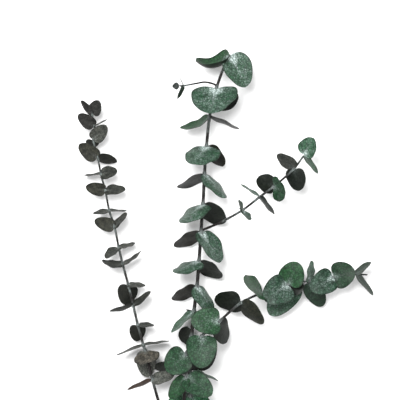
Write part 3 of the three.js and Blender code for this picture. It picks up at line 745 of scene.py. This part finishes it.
def piece(name, points, faces, finishes, node):
    """A piece in the scene, in metres, standing for one node of the frame."""
    mesh = bpy.data.meshes.new(name)
    mesh.from_pydata(((points + SHIFT) * MM).tolist(), [], faces)
    mesh.polygons.foreach_set("use_smooth", np.ones(len(faces), bool))
    mesh.update()
    made = bpy.data.objects.new(name, mesh)
    bpy.context.collection.objects.link(made)
    for finish in finishes:
        mesh.materials.append(finish)
    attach(made, "root")
    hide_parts(node)
    low, high = (np.array(corner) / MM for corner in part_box(node))
    lowest, highest = (points + SHIFT).min(axis=0), (points + SHIFT).max(axis=0)
    stray = max((low - lowest).max(), (highest - high).max())
    if stray > ALLOWED_STRAY:
        print(f"{name} stands {stray:.1f} mm out of {node}")
    return made


def record(made, name, kind, values):
    """A named value at each point of a piece's mesh."""
    field = "vector" if kind == "FLOAT_VECTOR" else "value"
    layer = made.data.attributes.new(name, kind, "POINT").data
    layer.foreach_set(field, np.ravel(values).astype(np.float32))


def grow_stem(name, points, base, tip, rooted=False, bud_tip=0.0):
    """A stem's piece. A branch is rooted in the stem that it grows from; another stem has a cut end."""
    rings, near = stem_shape(points, base, tip, bud_tip=bud_tip)
    skin, faces, bloom = closed_rod(rings, near)
    made = piece(name + "_bark", skin, faces, [bark_skin, cut_wood], name)
    record(made, "wax", "FLOAT", bloom)
    if not rooted:
        is_cut = np.arange(len(faces)) < ROD_SIDES
        made.data.polygons.foreach_set("material_index", is_cut.astype(np.int32))


def grow_leaves(points, base, tip, name, finish, slot, first_seed):
    """The leaf pairs of a stem, each one piece: two blades that meet inside the stem's node."""
    places = np.array([p[0] for p in points], float)
    spans = len(places) - 1
    nodes = [i for i, p in enumerate(points) if len(p) > 1]
    for number, i in enumerate(nodes, 1):
        t = i / spans
        run, radius = runs(places, [t])[0], base + (tip - base) * t
        parts, faces, place, tint, wax = [], [], [], [], []
        for side, leaf in enumerate(points[i][1:]):
            seed = first_seed + SEEDS_PER_PAIR * number + side
            skin, quads, spot = blade_shape(places[i], run, radius, leaf, seed)
            below = sum(len(p) for p in parts)
            faces += [[corner + below for corner in quad] for quad in quads]
            colour, amount = LOOKS[leaf[5]]
            parts.append(skin)
            place.append(spot)
            tint.append(np.tile(colour, (len(skin), 1)))
            wax.append(np.full(len(skin), amount))
        node = f"{name}_leaf_pair_{number:02d}"
        made = piece(f"{name}_leaves_{number:02d}", np.vstack(parts), faces, [finish], node)
        record(made, "blade", "FLOAT_VECTOR", np.vstack(place))
        record(made, "tint", "FLOAT_VECTOR", np.vstack(tint))
        record(made, "wax", "FLOAT", np.concatenate(wax))


def rod_low(points, base, tip):
    """Lowest corner of the box of the frame's own rod, which has fewer sides and rings."""
    places = np.array([p[0] for p in points], float)
    t = np.linspace(0, 1, FRAME_ROD_STEPS * (len(places) - 1) + 1)
    reach = np.repeat((base + (tip - base) * t)[:, None], FRAME_ROD_SIDES, axis=1)
    return rings_about(along_points(places, t), runs(places, t), reach).min(axis=(0, 1))


def axil(points, pair, side, base, tip, branch_radius):
    """Where a branch leaves a stem: the stem's own centre at one of its leaf pairs, then the place
    beside it just above the pair, at the branch's own radius and the clearance from both."""
    i = [k for k, p in enumerate(points) if len(p) > 1][pair - 1]
    places = np.array([p[0] for p in points], float)
    t = i / (len(points) - 1)
    run, radius = runs(places, [t])[0], base + (tip - base) * t
    outward = unit(np.array([side, 0, 0]) - side * run[0] * run)
    beside = places[i] + run * (CLASP_HALF_LENGTH + branch_radius + CLEARANCE)
    beside = beside + outward * (radius + branch_radius + CLEARANCE)
    return [[(places[i] + run * CLASP_HALF_LENGTH).tolist()], [beside.tolist()]]


# From the plant's own place to the frame's, which is where its centre stem is.
SHIFT = np.array(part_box("centre_stem")[0]) / MM - rod_low(CENTRE_STEM, *CENTRE_RADII)

grow_stem("left_stem", LEFT_STEM, *LEFT_RADII, bud_tip=BUD_TIP)
grow_leaves(LEFT_STEM, *LEFT_RADII, "left", dusky_skin, "dusky_leaf", 1000)
grow_stem("centre_stem", CENTRE_STEM, *CENTRE_RADII)
grow_leaves(CENTRE_STEM, *CENTRE_RADII, "centre", green_skin, "green_leaf", 2000)
grow_stem("right_stem", RIGHT_STEM, *RIGHT_RADII)
grow_leaves(RIGHT_STEM, *RIGHT_RADII, "right", green_skin, "green_leaf", 3000)
branch = axil(CENTRE_STEM, 7, 1, *CENTRE_RADII, BRANCH_RADII[0]) + SIDE_BRANCH
grow_stem("side_branch", branch, *BRANCH_RADII, rooted=True)
grow_leaves(branch, *BRANCH_RADII, "branch", green_skin, "green_leaf", 4000)
twig = axil(CENTRE_STEM, 12, -1, *CENTRE_RADII, TWIG_RADII[0]) + TOP_TWIG
grow_stem("top_twig", twig, *TWIG_RADII, rooted=True)
grow_leaves(twig, *TWIG_RADII, "twig", green_skin, "green_leaf", 5000)

twig_end = np.array(twig[-1][0], float)
twig_run = runs(np.array([p[0] for p in twig], float), [1.0])[0]
points, faces, bloom = bud_shape(twig_end - BUD_SUNK * twig_run, twig_run, BUD_RADIUS, BUD_LENGTH)
bud = piece("twig_bud_scales", points, faces, [bud_skin], "twig_bud")
record(bud, "wax", "FLOAT", bloom)

# ---- floor, light and camera ----------------------------------------------------------------------

paper, _, paper_shader = plain_finish("white_paper")
paper_shader.inputs["Base Color"].default_value = (0.9, 0.9, 0.9, 1)
paper_shader.inputs["Roughness"].default_value = 0.9
floor_mesh = bpy.data.meshes.new("floor")
FLOOR_REACH, FLOOR_TOP = 3, -0.001
signs = ((-1, -1), (1, -1), (1, 1), (-1, 1))
corners = [(x * FLOOR_REACH, y * FLOOR_REACH, FLOOR_TOP) for x, y in signs]
floor_mesh.from_pydata(corners, [], [(0, 1, 2, 3)])
floor_mesh.materials.append(paper)
floor = bpy.data.objects.new("floor", floor_mesh)
bpy.context.collection.objects.link(floor)


def soft_light(name, place, aim, size, power):
    """A square soft light at a place, turned to an aim."""
    lamp = bpy.data.lights.new(name, "AREA")
    lamp.size, lamp.energy = size, power
    made = bpy.data.objects.new(name, lamp)
    made.location = place
    made.rotation_euler = (Vector(aim) - Vector(place)).to_track_quat("-Z", "Y").to_euler()
    bpy.context.collection.objects.link(made)


soft_light("key_light", place=(-0.45, 0.7, 1.9), aim=(0, 0, 0), size=0.9, power=60)
soft_light("fill_light", place=(0.9, -0.5, 1.8), aim=(0, 0, 0), size=1.4, power=14)

world = bpy.data.worlds.new("studio")
world.use_nodes = True
sky = world.node_tree.nodes["Background"]
sky.inputs["Color"].default_value = (1, 1, 1, 1)
sky.inputs["Strength"].default_value = 0.7
bpy.context.scene.world = world
bpy.context.scene.view_settings.view_transform = "Standard"

LENS, SENSOR = 200, 36  # focal length and width of the sensor
FRAME_WIDTH = 0.4  # metres that the camera sees from side to side at the leaves' height
AIM = np.array([0.0, 200.0, 22.0])  # the middle of the frame, among the leaves
lens = bpy.data.cameras.new("camera")
lens.lens = LENS
lens.sensor_width = SENSOR
camera = bpy.data.objects.new("camera", lens)
middle = (AIM + SHIFT) * MM
camera.location = (middle[0], middle[1], middle[2] + FRAME_WIDTH * LENS / SENSOR)
bpy.context.collection.objects.link(camera)
bpy.context.scene.camera = camera
